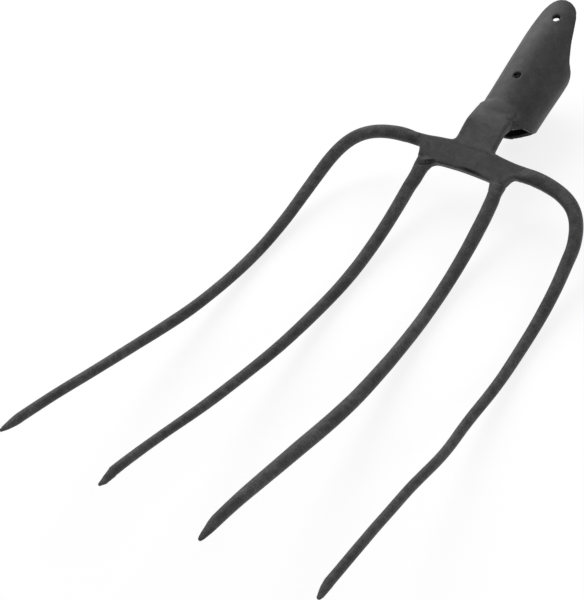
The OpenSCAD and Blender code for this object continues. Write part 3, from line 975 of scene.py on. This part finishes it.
# Pieces


def corner_weld(side, kind, x, t, reach):
    """The weld that fills the corner beside one tine's root."""
    centre = (side * x, t)
    far = reach + 3.2
    low = (centre[0] - far, t - far, -8)
    high = (centre[0] + far, t + far, 8)

    def field(px, pt, pn):
        return weld_field(px, pt, pn, centre, reach)

    name = "weld_" + kind + ("_left" if side < 0 else "_right")
    return field_piece(name, field, low, high, FINE_STEP, flaw_painted_shade)


pieces = [
    tine("tine_outer_left", OUTER_LEFT, 1.1),
    tine("tine_inner_left", INNER_LEFT, 2.3),
    tine("tine_inner_right", INNER_RIGHT, 3.7),
    tine("tine_outer_right", OUTER_RIGHT, 5.2),
    field_piece("crosshead", crosshead_field, (-40, -13, -6), (40, 9, 6), FINE_STEP, flaw_painted_shade),
    field_piece("socket", socket_field, (-22, 2, -46), (22, 118, 5), SOCKET_STEP, socket_painted_shade),
]
welds = [field_piece("weld_neck", weld_neck_field, (-21, 0.5, -6), (21, 12.5, 5), FINE_STEP)]
welds += [corner_weld(side, *weld) for side in (-1, 1) for weld in CORNER_WELDS]
for piece in pieces:
    piece.data.materials.append(tine_steel if piece.name.startswith("tine") else steel)
for piece in welds:
    piece.data.materials.append(weld_steel)

# Floor and white surroundings


def floor_material():
    """A grey floor that takes shadows, with a glow that only the camera and reflections see."""
    material = bpy.data.materials.new("white_floor")
    tree = node_tree(material)
    new = tree.nodes.new
    link = tree.links.new
    out = new("ShaderNodeOutputMaterial")
    add = new("ShaderNodeAddShader")
    diffuse = new("ShaderNodeBsdfDiffuse")
    diffuse.inputs["Color"].default_value = (FLOOR_GREY, FLOOR_GREY, FLOOR_GREY, 1)
    glow = new("ShaderNodeEmission")
    glow.inputs["Color"].default_value = (1, 1, 1, 1)
    path = new("ShaderNodeLightPath")
    level = new("ShaderNodeMath")
    level.operation = "MULTIPLY"
    level.inputs[1].default_value = FLOOR_GLOW
    link(larger(tree, path.outputs["Is Camera Ray"], path.outputs["Is Glossy Ray"]), level.inputs[0])
    link(level.outputs[0], glow.inputs["Strength"])
    link(diffuse.outputs[0], add.inputs[0])
    link(glow.outputs[0], add.inputs[1])
    link(add.outputs[0], out.inputs["Surface"])
    return material


floor_mesh = bpy.data.meshes.new("floor")
corners = [(-1, -1), (1, -1), (1, 1), (-1, 1)]
floor_mesh.from_pydata([(FLOOR_HALF * a, FLOOR_HALF * b, -FLOOR_DROP) for a, b in corners], [], [(0, 1, 2, 3)])
floor = bpy.data.objects.new("floor", floor_mesh)
bpy.context.scene.collection.objects.link(floor)
floor.data.materials.append(floor_material())


def white_room():
    """A world that is white to the camera and in reflections, and lights the rest dimly."""
    world = bpy.data.worlds.new("white_room")
    tree = node_tree(world)
    new = tree.nodes.new
    link = tree.links.new
    out = new("ShaderNodeOutputWorld")
    sky = new("ShaderNodeBackground")
    sky.inputs["Color"].default_value = (1, 1, 1, 1)
    path = new("ShaderNodeLightPath")
    seen = larger(tree, path.outputs["Is Camera Ray"], path.outputs["Is Glossy Ray"])
    seen = larger(tree, seen, path.outputs["Is Transmission Ray"])
    level = new("ShaderNodeMapRange")
    level.inputs["To Min"].default_value = ROOM_LIGHT
    level.inputs["To Max"].default_value = 1.0
    link(seen, level.inputs["Value"])
    link(level.outputs["Result"], sky.inputs["Strength"])
    link(sky.outputs[0], out.inputs["Surface"])
    return world


bpy.context.scene.world = white_room()


def softbox(name, at, size, power):
    """A square lamp turned to the head."""
    light = bpy.data.lights.new(name, "AREA")
    light.shape = "SQUARE"
    light.size = size
    light.energy = power
    box = bpy.data.objects.new(name, light)
    box.location = at
    box.rotation_euler = (Vector(LIT_PLACE) - Vector(at)).to_track_quat("-Z", "Y").to_euler()
    bpy.context.scene.collection.objects.link(box)


softbox("key", **KEY)
softbox("fill", **FILL)

# Camera


def add_camera():
    """The photograph's camera: its place, what it looks at, and its roll."""
    data = bpy.data.cameras.new("camera")
    data.lens = CAMERA_LENS
    data.sensor_width = CAMERA_SENSOR
    data.clip_start = 0.05
    data.clip_end = 50
    camera = bpy.data.objects.new("camera", data)
    bpy.context.scene.collection.objects.link(camera)
    at = Vector(CAMERA_AT) / 1000
    back = (at - Vector(CAMERA_TO) / 1000).normalized()
    level_right = Vector((0, 0, 1)).cross(back).normalized()
    level_up = back.cross(level_right)
    roll = math.radians(CAMERA_ROLL)
    up = level_up * math.cos(roll) + level_right * math.sin(roll)
    right = up.cross(back)
    turn = Matrix((right, up, back)).transposed().to_4x4()
    camera.matrix_world = Matrix.Translation(at) @ turn
    bpy.context.scene.camera = camera


add_camera()

bpy.context.scene.view_settings.view_transform = "Standard"
